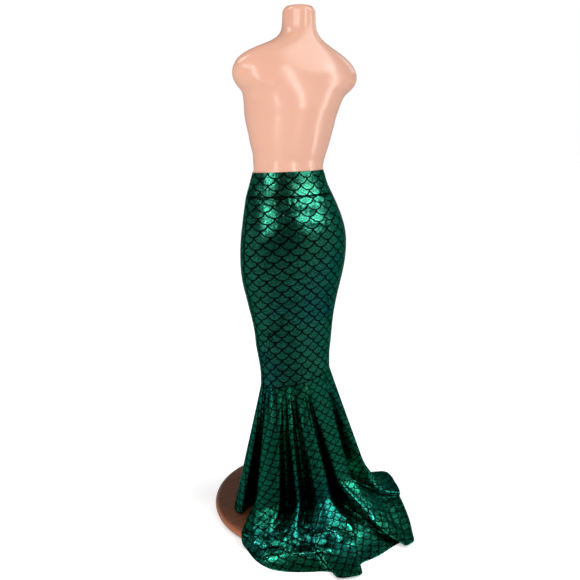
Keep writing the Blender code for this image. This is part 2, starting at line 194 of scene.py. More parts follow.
# Wrinkles: from one place to the other in cm, half their width in cm and how far
# they stand out in mm. Below zero they are hollows.
Wrinkle = namedtuple("Wrinkle", "x y z to_x to_y to_z half_width height")
PENCIL_WRINKLES = [Wrinkle(*row) for row in (
    (9.0, 8.7, 96.2, -0.6, 10.8, 96.1, 0.75, -2.6),
    (1.4, 10.7, 96.2, -9.0, 9.4, 95.2, 0.75, -2.6),
    (5.6, 9.3, 98.4, -5.4, 9.8, 98.0, 0.8, 1.4),
    (7.2, 10.6, 93.8, -4.4, 12.0, 93.2, 0.9, 1.8),
    (8.9, 10.7, 91.5, 14.4, 7.3, 83.3, 1.7, -1.8),
    (8.0, 9.2, 69.2, 11.9, 2.0, 49.6, 1.7, -1.8),
    (-5.0, 11.3, 75.2, -8.7, 7.7, 59.9, 1.3, -1.8),
    (-6.9, 10.2, 73.0, -8.6, 8.2, 64.0, 0.6, 1.1),
    (12.7, 3.7, 63.8, 10.8, 6.1, 61.1, 0.7, -1.4),
    (9.0, 7.6, 61.9, 11.1, 5.4, 58.6, 0.6, 1.4),
    (11.9, 4.6, 62.1, 9.4, 7.1, 58.4, 0.6, -1.2),
    (6.3, 7.7, 100.2, 6.7, 8.8, 97.9, 0.45, 0.9),
    (4.7, 8.2, 100.2, 5.1, 9.3, 97.6, 0.45, 0.8),
    (3.0, 8.6, 100.2, 3.6, 9.8, 97.6, 0.45, 1.0),
    (1.1, 8.8, 100.1, 1.4, 10.1, 97.4, 0.5, 0.9),
    (-0.8, 8.9, 100.0, -0.5, 10.1, 97.4, 0.45, 0.9),
    (-3.0, 8.7, 99.9, -2.2, 10.1, 97.2, 0.5, 1.0),
    (-5.4, 8.2, 99.7, -4.7, 9.7, 97.4, 0.45, 0.8),
)]
KNEE_WRINKLES = [Wrinkle(*row) for row in (
    (11.4, 1.6, 46.0, 11.9, 1.9, 34.9, 0.5, 3.0),
    (10.7, 5.3, 46.6, 11.2, 7.0, 33.5, 0.5, 3.8),
    (9.0, 7.4, 45.0, 9.1, 8.0, 32.6, 0.6, 2.8),
    (7.0, 8.8, 46.6, 6.9, 10.6, 32.0, 0.5, 3.8),
    (4.1, 10.7, 44.5, 3.8, 11.8, 32.0, 0.55, 2.2),
    (2.3, 10.3, 46.9, -2.0, 12.5, 31.3, 0.5, 4.0),
    (11.1, 4.1, 45.6, 12.1, 5.5, 33.0, 0.45, -2.8),
    (9.9, 6.5, 45.2, 10.5, 8.1, 31.0, 0.45, -3.2),
    (7.8, 8.8, 44.6, 7.7, 8.6, 30.7, 0.5, -3.2),
    (5.3, 9.7, 44.4, 4.7, 10.0, 30.5, 0.5, -3.2),
    (2.2, 10.9, 43.0, 1.1, 13.2, 30.0, 0.55, -3.4),
    (-8.6, 8.6, 41.0, -13.4, 7.5, 24.5, 1.2, -3.5),
    (-12.2, 7.5, 28.5, -18.2, 8.2, 11.0, 1.2, -3.5),
)]
TRAIN_WRINKLES = [Wrinkle(*row) for row in (
    (22.5, 19.4, 0.6, 13.3, 24.7, 1.9, 0.7, 5.0),
    (15.0, 23.9, 1.8, 5.5, 29.2, 2.9, 0.7, 5.0),
    (20.6, 18.0, 2.2, 12.0, 23.9, 2.7, 0.7, -4.5),
    (13.4, 23.2, 2.7, 4.0, 27.8, 3.5, 0.7, -4.5),
    (22.8, 13.5, 2.6, 20.2, 17.8, 2.4, 0.6, 4.0),
    (21.1, 13.2, 4.4, 18.0, 17.2, 3.9, 0.6, -3.5),
    (15.8, 18.8, 4.4, 12.4, 22.6, 3.2, 0.6, 4.0),
    (13.9, 20.3, 4.9, 10.8, 23.4, 3.4, 0.6, -3.5),
    (9.0, 20.8, 4.5, 8.0, 25.9, 3.5, 0.7, 4.5),
    (6.0, 22.8, 6.0, 4.3, 26.6, 4.0, 0.6, -4.0),
    (3.4, 23.4, 6.2, 1.2, 27.8, 3.6, 0.7, 4.5),
    (0.8, 24.0, 6.2, -2.3, 27.7, 3.6, 0.6, -4.0),
    (-3.4, 22.4, 5.9, -3.8, 26.8, 3.2, 0.7, 4.5),
    (9.2, 23.2, 4.8, -0.5, 26.2, 4.9, 0.6, 4.0),
    (8.6, 22.0, 4.9, 0.5, 24.6, 6.0, 0.6, -3.5),
    (-8.6, 25.6, 4.0, -9.4, 22.8, 7.6, 0.6, -3.0),
    (-11.6, 28.0, 4.0, -12.2, 24.4, 6.6, 0.6, 3.5),
    (-14.0, 28.2, 3.4, -15.6, 25.0, 4.8, 0.6, -3.0),
    (-17.4, 28.4, 2.8, -18.6, 25.6, 3.4, 0.6, 3.0),
    (-20.5, 18.6, 4.0, -29.4, 19.0, 1.4, 0.6, 5.0),
    (-20.5, 20.6, 3.9, -29.4, 20.6, 1.8, 0.6, -5.0),
)]

WRINKLE_FADE = 0.12      # share of a wrinkle's length in which it rises at each end
DEEPEST_HOLLOW = 0.0026  # keeps the outer side of the pencil clear of the form

# ---- how finely the cloth and the form are drawn ----
BACK_STEPS = 10
FRONT_STEPS = 8
LEG_RINGS = (60, 22, 16, 16)
PATH_SAMPLES = 241
PENCIL_STEPS = 160
PENCIL_RINGS = 190
BAND_SIDES = 240
BAND_RINGS = 20
TORSO_SIDES = 128
TORSO_RINGS = 220
BASE_SIDES = 192
BASE_EDGE_STEPS = 18
SHARP_DEG = 50.0

# ---- the print, in flat cloth ----
SCALE_WIDTH = 0.035
SCALE_DROP = 0.0148      # from one row of scales to the next
OUTLINE = 0.0034         # width of the printed outline
BAND_SHIFT = (0.013, 0.0)
PENCIL_SHIFT = (-0.0080, -0.0052)
HEM_STITCH = 0.007       # from the hem's edge to its stitch line
STRETCH_DOWN = 1.18
FLAT_ROUNDS = 12         # rounds of smoothing the flare's flat pattern
INK_FADE = (0.40, 0.60)  # shares of the outline between which ink turns to foil
INK_WOBBLE = 0.0006      # how unevenly the outline is printed
PAINTED_SEAM_SHADE = (0.0008, 0.0042)     # distances from a seam between which its painted shade gives way to foil
GROOVE_WIDTH = 0.0022
STITCH_LENGTH = 0.003
STITCH_THREAD = (0.0003, 0.0009)
STITCH_DASH = (0.25, 0.5)
STITCH_DEPTH = 0.8       # share of a groove's depth

# ---- colours and fine relief ----
FLARE_GREENS = ((0.008, 0.152, 0.084), (0.006, 0.124, 0.102))
PENCIL_GREENS = ((0.018, 0.158, 0.097), (0.013, 0.130, 0.122))
# Painted glints: teal and lime flecks brighter than the foil, standing in for its sparkle.
PAINTED_GLINT_TEAL = (0.04, 0.30, 0.26)
PAINTED_GLINT_LIME = (0.14, 0.36, 0.07)
# Colour of the printed outlines, also used for the painted shade along the seams.
INK_AND_PAINTED_SEAM_SHADE = (0.0015, 0.0025, 0.0025)
FOIL_TINT = (0.36, 0.52, 0.47)
PEACH_DARK = (0.530, 0.286, 0.206)
PEACH_PALE = (0.545, 0.298, 0.216)
WOOD_DARK = (0.078, 0.024, 0.010)
WOOD_PALE = (0.118, 0.042, 0.018)
WOOD_PORE = (0.050, 0.016, 0.008)
# Painted highlight on the base's rounded edge.
WOOD_EDGE_HIGHLIGHT = (0.27, 0.078, 0.028)
METAL_DARK = (0.45, 0.45, 0.46)
METAL_PALE = (0.66, 0.66, 0.68)

# The foil's brightness: the least, and what specks and the scale's own shade add.
LEAST_SHADE = 0.30
SPECK_SHADE = 1.35
SCALE_SHADE = 0.30
GLINT_SHARE = 0.5
PAINTED_RIDGE_HIGHLIGHT = 1.2        # painted highlight: share of brightness that a wrinkle's ridge adds
PAINTED_RIDGE_GLINTS = 6.0       # and what that painted highlight adds more at a glint
PAINTED_HOLLOW_SHADE = 0.75       # painted shade: share of brightness that a wrinkle's hollow takes
LIFT_RANGE = (0.0008, 0.0028)   # heights of a wrinkle between which the painted shade and highlight set in
FOIL_ROUGHNESS = 0.20
ROUGHNESS_DRIFT = 0.14

# Noises: scale, detail and, where it isn't a half, roughness.
INK_NOISE = (500.0, 2.0)
PATCH_NOISE = (5.0, 2.0)
GLINT_NOISE = (330.0, 2.0)
LIME_NOISE = (11.0, 1.0)
SPECK_NOISE = (230.0, 3.0, 0.7)
SHEEN_NOISE = (60.0, 2.0)
RUMPLE_NOISE = (17.0, 2.0)
CRUMPLE_NOISE = (22.0, 1.0)
CRINKLE_NOISE = (78.0, 3.0, 0.55)
KNIT_NOISE = (900.0, 2.0)

# Values of those noises between which what they draw comes in.
PATCH_RANGE = (0.44, 0.66)
GLINT_RANGE = (0.57, 0.70)
LIME_RANGE = (0.55, 0.68)
SPECK_RANGE = (0.36, 0.66)

# Depths of the relief, and the heights between which the crumples come and go.
RUMPLE_DEPTH = 0.0040
CRUMPLE_DEPTH = 0.013
CRINKLE_DEPTH = 0.0011
KNIT_DEPTH = 0.0002
PRINT_DEPTH = 0.0001
SEAM_DEPTH = 0.0008
CRUMPLE_COMES = (0.014, 0.032)
CRUMPLE_GOES = (0.050, 0.12)
GRAIN_STRETCH = (5.0, 90.0, 90.0)
BRUSH_STRETCH = (40.0, 40.0, 900.0)
EDGE_HIGHLIGHT_WIDTH = 0.010    # width of the painted highlight on the base's rounded edge

# How far the cloth is stretched round the body, by height above the floor.
Stretch = namedtuple("Stretch", "z across")
STRETCHES = [Stretch(*row) for row in (
    (0.42, 1.09),
    (0.55, 1.12),
    (0.70, 1.19),
    (0.80, 1.30),
    (0.90, 1.41),
    (0.96, 1.44),
    (1.02, 1.36),
    (1.07, 1.27),
)]

# Cut size of each piece of cloth, flat and unstretched.
Cut = namedtuple("Cut", "width length area held rests_on")

# ---- camera and light ----
CAMERA_AZIMUTH = 147.0
CAMERA_DISTANCE = 1.672
CAMERA_HEIGHT = 1.1397
CAMERA_PITCH = 14.1
FOCAL_PX = 573.5
AXIS_SHIFT_PX = -2.0
IMAGE_PX = 580
SENSOR_MM = 36.0

# Broad lights from far away: direction, height angle, apparent width, strength, and
# whether glossy surfaces mirror them.
FarLight = namedtuple("FarLight", "name azimuth elevation spread_deg strength in_gloss")
FAR_LIGHTS = [FarLight(*row) for row in (
    ("light_key", 135, 43, 42, 2.15, True),
    ("light_top", 60, 80, 60, 0.4, False),
    ("light_fill", 50, 4, 60, 1.6, False),
)]

# Soft boxes: direction and height angle from the skirt, distance, size and power.
Softbox = namedtuple("Softbox", "name azimuth elevation distance width height watts in_gloss")
SOFTBOXES = [Softbox(*row) for row in (
    ("light_side", 28, 36, 2.6, 1.0, 0.8, 18, True),
    ("light_rim", 335, 60, 2.4, 0.5, 0.9, 14, True),
    ("light_back", 190, 36, 2.6, 0.6, 0.8, 3.0, True),
    ("light_low", 57, -22, 1.7, 1.2, 0.4, 15, False),
)]
LIGHT_TARGET = (0.0, 0.0, 0.75)

# Tall narrow lights that only the form's gloss mirrors.
Strip = namedtuple("Strip", "name azimuth width watts")
STRIPS = [Strip(*row) for row in (
    ("strip_left", 50, 0.12, 26),
    ("strip_middle", 100, 0.12, 32),
    ("strip_right", 146, 0.12, 24),
)]
STRIP_DISTANCE = 2.2
STRIP_HEIGHT = 2.6
FAR_DISTANCE = 3.0
FLOOR_RADIUS = 60.0
FLOOR_SIDES = 96
FLOOR_GLOW = 0.32
DARK_SIDE_DEG = 57.0     # direction of the studio's dark side
ROOM_DARK = 0.12         # light from there
ROOM_PALE = 0.42         # the studio's walls
ROOM_ABOVE = 0.25        # share of that light from high up
ROOM_BELOW = 0.28        # light from below, which glossy surfaces mirror
DARK_RANGE = (0.55, 0.95)       # facing between which the dark side comes in
ABOVE_RANGE = (0.15, 0.45)      # heights of a direction for light from above
BELOW_RANGE = (-0.22, -0.04)    # and from below


# ---- small geometry helpers ----
def cubic(start, start_slope, end, end_slope, t):
    """Cubic curve between two places with given slopes."""
    from_start = (2 * t**3 - 3 * t**2 + 1) * start + (t**3 - 2 * t**2 + t) * start_slope
    return from_start + (3 * t**2 - 2 * t**3) * end + (t**3 - t**2) * end_slope


def smooth_rows(knots, values, places):
    """Cubic curve through the rows of a table, with slopes from the neighbours."""
    knots = np.asarray(knots, float)
    values = np.asarray(values, float)
    places = np.clip(np.asarray(places, float), knots[0], knots[-1])
    slopes = np.gradient(values, knots, axis=0)
    index = np.clip(np.searchsorted(knots, places, side="right") - 1, 0, len(knots) - 2)
    span = (knots[index + 1] - knots[index])
    t = ((places - knots[index]) / span)[..., None]
    span = span[..., None]
    after = index + 1
    return cubic(values[index], span * slopes[index], values[after], span * slopes[after], t)


def ease(t):
    t = np.clip(t, 0.0, 1.0)
    return t * t * (3 - 2 * t)


def section_points(rows, z, degrees, inset=0.0):
    """Points round a table's section at heights z, moved in by inset."""
    degrees, z = np.broadcast_arrays(np.asarray(degrees, float), np.asarray(z, float))
    table = np.array(sorted(rows)) * CM
    half_width, half_depth, set_back = np.moveaxis(smooth_rows(table[:, 0], table[:, 1:], z), -1, 0)
    angle = np.radians(degrees)
    x = (half_width - inset) * np.cos(angle)
    y = (half_depth - inset) * np.sin(angle) + set_back
    return np.stack([x, y, z], axis=-1)


def tilted(height, tilt, degrees):
    return height + tilt * np.cos(np.radians(np.asarray(degrees) - SWEEP_DEG))


def waist_top(degrees):
    return tilted(WAIST_Z, WAIST_TILT, degrees)


def band_seam(degrees):
    return tilted(WAIST_Z - WAISTBAND_HEIGHT, WAIST_TILT, degrees)


def knee_seam(degrees):
    return tilted(KNEE_Z, KNEE_TILT, degrees)


def grid_normals(grid, wrap=True):
    """Outward direction at each point of a grid whose rows run downwards."""
    if wrap:
        across = np.roll(grid, -1, axis=1) - np.roll(grid, 1, axis=1)
    else:
        across = np.gradient(grid, axis=1)
    down = np.gradient(grid, axis=0)
    normal = np.cross(down, across)
    length = np.linalg.norm(normal, axis=-1, keepdims=True)
    return normal / np.maximum(length, TINY)


def lengths_along(grid, axis):
    """Length run along one direction of a grid, from its first row or column."""
    steps = np.linalg.norm(np.diff(grid, axis=axis), axis=-1)
    pad = [(0, 0), (0, 0)]
    pad[axis] = (1, 0)
    return np.cumsum(np.pad(steps, pad), axis=axis)


def wrinkled(grid, wrinkles):
    """How far the wrinkles lift each point of a grid off its smooth form."""
    lift = np.zeros(grid.shape[:2])
    for wrinkle in wrinkles:
        start = np.array(wrinkle[0:3]) * CM
        run = np.array(wrinkle[3:6]) * CM - start
        share = np.clip((grid - start) @ run / (run @ run), 0.0, 1.0)
        distance = np.linalg.norm(grid - start - share[..., None] * run, axis=-1)
        ends = ease(share / WRINKLE_FADE) * ease((1 - share) / WRINKLE_FADE)
        lift += wrinkle.height * MM * ends * np.exp(-(distance / (wrinkle.half_width * CM)) ** 2)
    return lift[..., None]


# ---- meshes ----
def grid_faces(rows, columns, wrap, start=0):
    index = np.arange(rows * columns).reshape(rows, columns) + start
    if wrap:
        index = np.concatenate([index, index[:, :1]], axis=1)
    corners = [index[:-1, :-1], index[:-1, 1:], index[1:, 1:], index[1:, :-1]]
    return np.stack(corners, axis=-1).reshape(-1, 4)


def make_piece(name, points, faces, material, slot):
    mesh = bpy.data.meshes.new(name)
    mesh.from_pydata(np.asarray(points).tolist(), [], [list(face) for face in faces])
    work = bmesh.new()
    work.from_mesh(mesh)
    bmesh.ops.recalc_face_normals(work, faces=work.faces)
    work.to_mesh(mesh)
    work.free()
    mesh.shade_smooth()
    mesh.set_sharp_from_angle(angle=math.radians(SHARP_DEG))
    mesh.materials.append(material)
    piece = bpy.data.objects.new(name, mesh)
    bpy.context.scene.collection.objects.link(piece)
    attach(piece, "root")
    return piece


def walled(outer, inner, wrap):
    """Points and faces of a wall between two equal grids, closed along its edges."""
    rows, columns = outer.shape[:2]
    count = rows * columns
    points = np.concatenate([outer.reshape(-1, 3), inner.reshape(-1, 3)])
    faces = [grid_faces(rows, columns, wrap), grid_faces(rows, columns, wrap, count)[:, ::-1]]
    index = np.arange(count).reshape(rows, columns)
    edges = [index[0], index[-1]]
    if wrap:
        edges = [np.append(edge, edge[0]) for edge in edges]
    else:
        edges += [index[:, 0], index[:, -1]]
    for edge in edges:
        strip = [edge[:-1], edge[1:], edge[1:] + count, edge[:-1] + count]
        faces.append(np.stack(strip, axis=-1))
    return points, np.concatenate(faces)


def put_vectors(piece, name, values):
    """Store a vector for each point of both sides of a wall."""
    both = np.concatenate([values.reshape(-1, 3)] * 2).astype(np.float32)
    attribute = piece.data.attributes.new(name, "FLOAT_VECTOR", "POINT")
    attribute.data.foreach_set("vector", both.ravel())


def make_cloth(node, outer, inner, cloth, sew, wrap, material):
    """A piece of cloth in place of a node. It carries its place in the flat print with
    its wrinkles' height, and its place along its sewn edge."""
    points, faces = walled(outer, inner, wrap)
    piece = make_piece(f"{node}_cloth", points, faces, material, f"{node}_foil")
    put_vectors(piece, "cloth", cloth)
    put_vectors(piece, "sew", sew)
    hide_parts(node)


# ---- waistband and pencil panels ----
def stretch_at(z):
    return np.interp(z, [row.z for row in STRETCHES], [row.across for row in STRETCHES])


def body_grid(degrees, top, bottom, rings):
    share = np.linspace(0.0, 1.0, rings)[:, None]
    z = top(degrees) * (1 - share) + bottom(degrees) * share
    outer = section_points(BODY, z, degrees[None, :])
    inner = section_points(BODY, z, degrees[None, :], WALL)
    return outer, inner, z


def print_on_body(outer, z, middle, shift):
    """Place in the flat print, counted from a panel's middle column."""
    across = lengths_along(outer, 1)
    across = across - across[:, middle:middle + 1]
    u = across / stretch_at(z) + shift[0]
    v = lengths_along(outer, 0) / STRETCH_DOWN + shift[1]
    return np.stack([u, v, np.zeros_like(u)], axis=-1)


def sewn(outer, from_edge, from_side):
    """Length along a seam, and how far the cloth is from its seams and hem."""
    return np.stack([lengths_along(outer, 1), from_edge, from_side], axis=-1)


def build_waistband(material):
    degrees = np.arange(BAND_SIDES) * 360.0 / BAND_SIDES + 270.0
    outer, inner, z = body_grid(degrees, waist_top, band_seam, BAND_RINGS)
    cloth = print_on_body(outer, z, BAND_SIDES // 2, BAND_SHIFT)
    sew = sewn(outer, z - band_seam(degrees), np.full_like(z, 1.0))
    make_cloth("waistband", outer, inner, cloth, sew, True, material)


def build_pencil(node, first_deg, material):
    gap_deg = math.degrees(SEAM_GAP / 2 / (max(row.half_depth for row in BODY) * CM))
    degrees = np.linspace(first_deg + gap_deg, first_deg + 180.0 - gap_deg, PENCIL_STEPS + 1)

    def top(where):
        return band_seam(where) - SEAM_GAP

    def bottom(where):
        return knee_seam(where) + SEAM_GAP

    outer, inner, z = body_grid(degrees, top, bottom, PENCIL_RINGS)
    cloth = print_on_body(outer, z, PENCIL_STEPS // 2, PENCIL_SHIFT)
    height = np.maximum(wrinkled(outer, PENCIL_WRINKLES + KNEE_WRINKLES), -DEEPEST_HOLLOW)
    cloth[..., 2:] = height
    lift = grid_normals(outer, False) * height
    outer = outer + lift
    inner = inner + lift
    from_edge = np.minimum(top(degrees) - z, z - bottom(degrees))
    across = lengths_along(outer, 1)
    from_side = np.minimum(across, across[:, -1:] - across)
    sew = sewn(outer, from_edge, from_side)
    make_cloth(node, outer, inner, cloth, sew, False, material)


# ---- flare ----
def polar(degrees, radius, z):
    """Middle of the cloth whose underside is at a place given in degrees and cm."""
    angle = math.radians(degrees)
    return np.array([radius * math.cos(angle), radius * math.sin(angle), z]) * CM + (0, 0, WALL / 2)


def support(radius):
    """Height of what lies under the cloth: base, fall over its rim, floor."""
    fall = ease((radius - DRAPE_START) / (DRAPE_END - DRAPE_START))
    return (BASE_THICKNESS + CLOTH_ON_BASE) * (1 - fall)


def knee_point(seam_deg):
    return section_points(BODY, knee_seam(seam_deg) - SEAM_GAP / 2, seam_deg, WALL / 2)


def back_places(row):
    foot = polar(row.foot_deg, row.foot_r, row.foot_z)
    rim = polar(row.rim_deg, row.rim_r, row.rim_z)
    hem = polar(row.hem_deg, row.hem_r, row.hem_z)
    toe = rim + (hem - rim) * (TOE_SHARE, TOE_SHARE, 1 - TOE_HEIGHT)
    return np.array([knee_point(row.seam_deg), foot, rim, toe, hem])


def front_places(row):
    knee = knee_point(row.seam_deg)
    hem = polar(row.hem_deg, row.hem_r, (BASE_THICKNESS + FRONT_HEM_LIFT) / CM)
    foot, rim, toe = [knee + (hem - knee) * share for share in FRONT_LEGS]
    return np.array([knee, foot, rim, toe, hem])


def round_bends(along, line):
    """Each point becomes the mean of the line within half a bend either side."""
    steps = np.diff(along)[:, None]
    running = np.zeros_like(line)
    running[1:] = np.cumsum(0.5 * (line[1:] + line[:-1]) * steps, axis=0)
    reach = np.minimum(BEND / 2, np.minimum(along, along[-1] - along))
    rounded = line.copy()
    inside = slice(1, len(along) - 1)
    low = (along - reach)[inside]
    high = (along + reach)[inside]
    for axis in range(3):
        total = np.interp(high, along, running[:, axis]) - np.interp(low, along, running[:, axis])
        rounded[inside, axis] = total / (high - low)
    return rounded


def fold_path(places):
    """Fold line through its places, rounded where it turns, as one point a ring."""
    lengths = np.concatenate([[0.0], np.cumsum(np.linalg.norm(np.diff(places, axis=0), axis=1))])
    along = np.linspace(0.0, lengths[-1], PATH_SAMPLES)
    line = np.stack([np.interp(along, lengths, places[:, k]) for k in range(3)], axis=-1)
    line = round_bends(along, line)
    stops = [0.0]
    for leg, steps in enumerate(LEG_RINGS):
        stops += list(np.linspace(lengths[leg], lengths[leg + 1], steps + 1)[1:])
    return np.stack([np.interp(stops, along, line[:, k]) for k in range(3)], axis=-1)


def seam_ring(ring):
    """The first ring lies on the pencil's own section."""
    table = np.array(sorted(BODY)) * CM
    half_width, half_depth, set_back = smooth_rows(table[:, 0], table[:, 1:], np.array([KNEE_Z]))[0]
    degrees = np.degrees(np.arctan2((ring[:, 1] - set_back) / half_depth, ring[:, 0] / half_width))
    return section_points(BODY, knee_seam(degrees) - SEAM_GAP / 2, degrees, WALL / 2)


def flare_rings():
    """Closed rings through every fold line, and the column of the right side seam."""
    lines = [fold_path(back_places(row)) for row in BACK_FOLDS]
    lines += [fold_path(front_places(row)) for row in FRONT_FOLDS]
    count = len(lines)
    right_seam = len(BACK_FOLDS) - 1
    columns = []
    for fold in range(count):
        steps = BACK_STEPS if fold < right_seam else FRONT_STEPS
        before, here, after, beyond = [lines[(fold + offset) % count] for offset in (-1, 0, 1, 2)]
        for step in range(steps):
            slope = 0.5 * (after - before)
            end_slope = 0.5 * (beyond - here)
            columns.append(cubic(here, slope, after, end_slope, step / steps))
    grid = np.stack(columns, axis=1)
    grid[0] = seam_ring(grid[0])
    radius = np.hypot(grid[..., 0], grid[..., 1])
    grid[..., 2] = np.maximum(grid[..., 2], support(radius) + WALL / 2)
    return grid, right_seam * BACK_STEPS


def flat_pattern(grid):
    """The flat cut that a curved panel opens out to, with its centre line downwards."""
    rows = every_other(grid.shape[0])
    columns = every_other(grid.shape[1])
    coarse = grid[np.ix_(rows, columns)]
    flat = unwrapped(coarse)
    flat *= math.sqrt(quad_areas(coarse).sum() / abs(quad_areas(flat).sum()))
    middle = coarse.shape[1] // 2
    line = flat[len(rows) // 2, middle] - flat[0, middle]
    right = line[1] / np.linalg.norm(line)
    down = line[0] / np.linalg.norm(line)
    x, y = flat[..., 0], flat[..., 1]
    turned = np.stack([x * right - y * down, x * down + y * right], axis=-1)
    turned -= turned[0, middle]
    if turned[0, -1, 0] < turned[0, 0, 0]:
        turned[..., 0] *= -1.0
    return spread_out(turned, rows, columns, grid.shape[:2])


def every_other(count):
    chosen = list(range(0, count, 2))
    if chosen[-1] != count - 1:
        chosen.append(count - 1)
    return chosen


def quad_areas(places):
    first = places[1:, 1:] - places[:-1, :-1]
    second = places[1:, :-1] - places[:-1, 1:]
    if places.shape[-1] == 2:
        return 0.5 * (first[..., 0] * second[..., 1] - first[..., 1] * second[..., 0])
    return 0.5 * np.linalg.norm(np.cross(first, second), axis=-1)


def unwrapped(places):
    """Blender's least stretched flat layout of a grid."""
    rows, columns = places.shape[:2]
    mesh = bpy.data.meshes.new("flat")
    mesh.from_pydata(places.reshape(-1, 3).tolist(), [], grid_faces(rows, columns, False).tolist())
    mesh.uv_layers.new(name="flat")
    helper = bpy.data.objects.new("flat", mesh)
    bpy.context.scene.collection.objects.link(helper)
    bpy.context.view_layer.objects.active = helper
    bpy.ops.object.mode_set(mode="EDIT")
    bpy.ops.mesh.select_all(action="SELECT")
    bpy.ops.uv.unwrap(method="MINIMUM_STRETCH", margin=0.0, iterations=FLAT_ROUNDS)
    bpy.ops.object.mode_set(mode="OBJECT")
    corners = np.zeros(len(mesh.loops) * 2)
    mesh.uv_layers[0].data.foreach_get("uv", corners)
    owners = np.zeros(len(mesh.loops), dtype=int)
    mesh.loops.foreach_get("vertex_index", owners)
    flat = np.zeros((rows * columns, 2))
    flat[owners] = corners.reshape(-1, 2)
    bpy.data.objects.remove(helper)
    bpy.data.meshes.remove(mesh)
    return flat.reshape(rows, columns, 2)


def spread_out(values, rows, columns, shape):
    """Values known at some rows and columns, filled in at all of them."""
    filled = np.zeros((len(rows), shape[1], values.shape[-1]))
    for row in range(len(rows)):
        for axis in range(values.shape[-1]):
            filled[row, :, axis] = np.interp(range(shape[1]), columns, values[row, :, axis])
    full = np.zeros((*shape, values.shape[-1]))
    for column in range(shape[1]):
        for axis in range(values.shape[-1]):
            full[:, column, axis] = np.interp(range(shape[0]), rows, filled[:, column, axis])
    return full


def build_flare(materials):
    grid, split = flare_rings()
    height = wrinkled(grid, KNEE_WRINKLES + TRAIN_WRINKLES)
    grid += grid_normals(grid) * height
    radius = np.hypot(grid[..., 0], grid[..., 1])
    grid[..., 2] = np.maximum(grid[..., 2], support(radius) + WALL / 2)
    normal = grid_normals(grid)
    sides = []
    for offset in (WALL / 2, -WALL / 2):
        side = grid + normal * offset
        radius = np.hypot(side[..., 0], side[..., 1])
        side[..., 2] = np.maximum(side[..., 2], support(radius))
        sides.append(side)
    columns = grid.shape[1]
    panels = {
        "flare_back": list(range(0, split + 1)),
        "flare_front": list(range(split, columns)) + [0],
    }
    for node, chosen in panels.items():
        middle = grid[:, chosen]
        outer, inner = [part_seams(side[:, chosen]) for side in sides]
        down = lengths_along(middle, 0)
        across = lengths_along(middle, 1)
        flat = flat_pattern(middle)
        cloth = np.concatenate([flat, height[:, chosen]], axis=-1)
        from_side = np.minimum(across, across[:, -1:] - across)
        sew = sewn(middle, down[-1:] - down, from_side)
        make_cloth(node, outer, inner, cloth, sew, False, materials[node])


def part_seams(grid):
    """Leave half a seam gap at both side edges of a panel."""
    parted = grid.copy()
    for edge, neighbour in ((0, 1), (-1, -2)):
        towards = grid[:, neighbour] - grid[:, edge]
        length = np.linalg.norm(towards, axis=-1, keepdims=True)
        parted[:, edge] += towards / np.maximum(length, TINY) * SEAM_GAP / 2
    return parted


# ---- dress form ----
def capped(rings):
    rows, columns = rings.shape[:2]
    faces = [list(face) for face in grid_faces(rows, columns, True)]
    faces.append(list(range(columns)))
    faces.append(list(range((rows - 1) * columns, rows * columns)))
    return rings.reshape(-1, 3), faces


def build_torso(material):
    degrees = np.arange(TORSO_SIDES) * 360.0 / TORSO_SIDES
    joint = WAIST_Z + TRUNK_LIP
    rings = []
    for z in np.linspace(TRUNK_END_Z, TORSO[-1].z * CM, TORSO_RINGS):
        if z <= joint:
            below = ease((WAIST_Z - z) / CLEARANCE_RUN)
            inset = WALL + WAIST_CLEARANCE + (SKIRT_CLEARANCE - WAIST_CLEARANCE) * below
            rings.append(section_points(BODY, z, degrees, float(inset)))
        else:
            rings.append(section_points(TORSO, z, degrees))
    neck = rings[-1]
    middle = neck.mean(axis=0)
    cap = middle + (neck - middle) * NECK_CAP_SHARE
    cap[:, 2] = FORM_TOP_Z
    rings.append(cap)
    piece = make_piece("torso_shell", *capped(np.array(rings)), material, "torso_skin")
    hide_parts("form_torso")
    return piece


def build_base(material):
    half = BASE_THICKNESS / 2
    angles = np.radians(np.arange(BASE_SIDES) * 360.0 / BASE_SIDES)
    rings = []
    for step in np.linspace(-90.0, 90.0, BASE_EDGE_STEPS + 1):
        radius = BASE_RADIUS - half + half * math.cos(math.radians(step))
        z = half + half * math.sin(math.radians(step))
        level = np.full(BASE_SIDES, z)
        rings.append(np.stack([radius * np.cos(angles), radius * np.sin(angles), level], axis=-1))
    piece = make_piece("base_disc", *capped(np.array(rings)), material, "base_wood")
    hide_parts("form_base")


